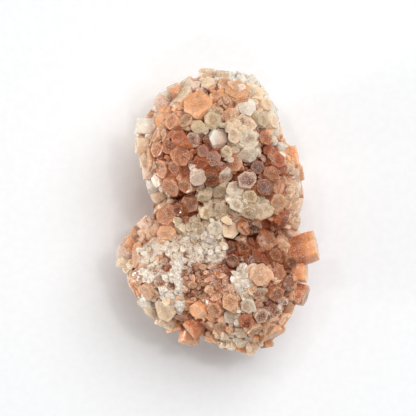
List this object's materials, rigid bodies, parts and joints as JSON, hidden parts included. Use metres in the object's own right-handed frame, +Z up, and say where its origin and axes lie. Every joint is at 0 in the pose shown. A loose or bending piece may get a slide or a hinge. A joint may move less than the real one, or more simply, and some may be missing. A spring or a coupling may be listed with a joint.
{
  "type": "aragonite star cluster",
  "caption": "Loose mineral specimen: intergrown hexagonal aragonite prisms that radiate from rounded lobes, resting on the flat ends of its lowest crystals.",
  "frame": {"origin": "middle of the footprint, level with the end faces of the crystals that it rests on", "axes": "+Z up and away from the resting faces, +Y along the length towards the round crown, +X towards the shoulder"},
  "size_m": [0.0516, 0.0714, 0.0364],
  "materials": {
    "aragonite": "Waxy to glassy translucent crystals, peach, terracotta, mauve and cream, with a chalky pale crust."
  },
  "bodies": {
    "root": {"crystal_cluster": "aragonite"}
  },
  "joints": []
}
